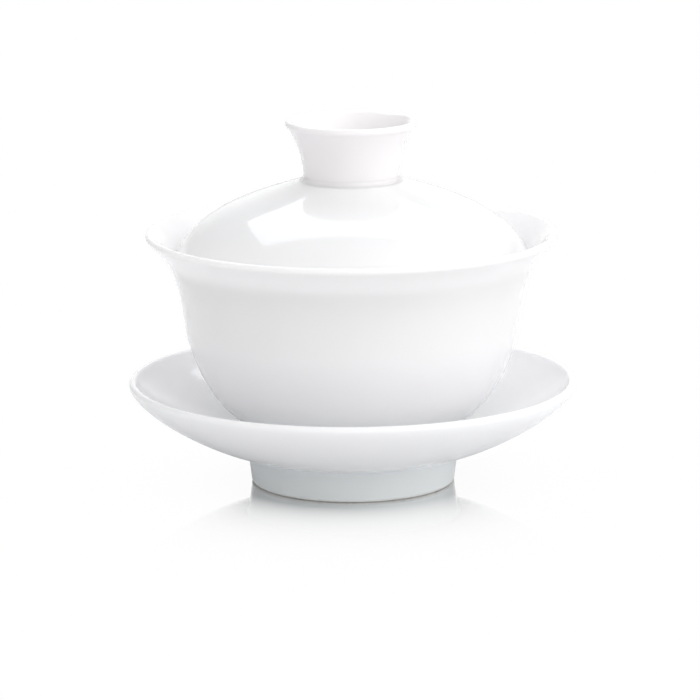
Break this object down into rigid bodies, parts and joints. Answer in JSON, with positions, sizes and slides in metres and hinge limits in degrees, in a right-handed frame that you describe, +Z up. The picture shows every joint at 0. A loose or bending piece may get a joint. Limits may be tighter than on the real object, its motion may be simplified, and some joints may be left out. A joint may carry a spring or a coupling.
{
  "type": "gaiwan",
  "caption": "Lidded porcelain tea bowl with a flared lip and a hollow ring knob, standing on a saucer with a tall foot.",
  "frame": {"origin": "middle of the saucer's foot, on the surface that it stands on", "axes": "+Z up along the common axis of saucer, bowl and lid; X and Y are equal, because every piece is turned about that axis"},
  "size_m": [0.1068, 0.1068, 0.087],
  "materials": {
    "glazed_porcelain": "thin clear gloss glaze over a white body",
    "foot_porcelain": "clear gloss glaze with a faint cool tint, and a bare matt bearing edge"
  },
  "bodies": {
    "saucer": {"saucer_dish": "glazed_porcelain", "saucer_foot_ring": "foot_porcelain"},
    "bowl": {"bowl_wall": "glazed_porcelain", "bowl_foot_ring": "foot_porcelain"},
    "lid": {"lid_dome": "glazed_porcelain", "lid_knob": "glazed_porcelain"}
  },
  "joints": [
    {"name": "bowl_lift", "type": "slide", "parent": "saucer", "child": "bowl", "axis": [0, 0, 1], "range_m": [0, 0.06]},
    {"name": "lid_lift", "type": "slide", "parent": "bowl", "child": "lid", "axis": [0, 0, 1], "range_m": [0, 0.06]}
  ]
}
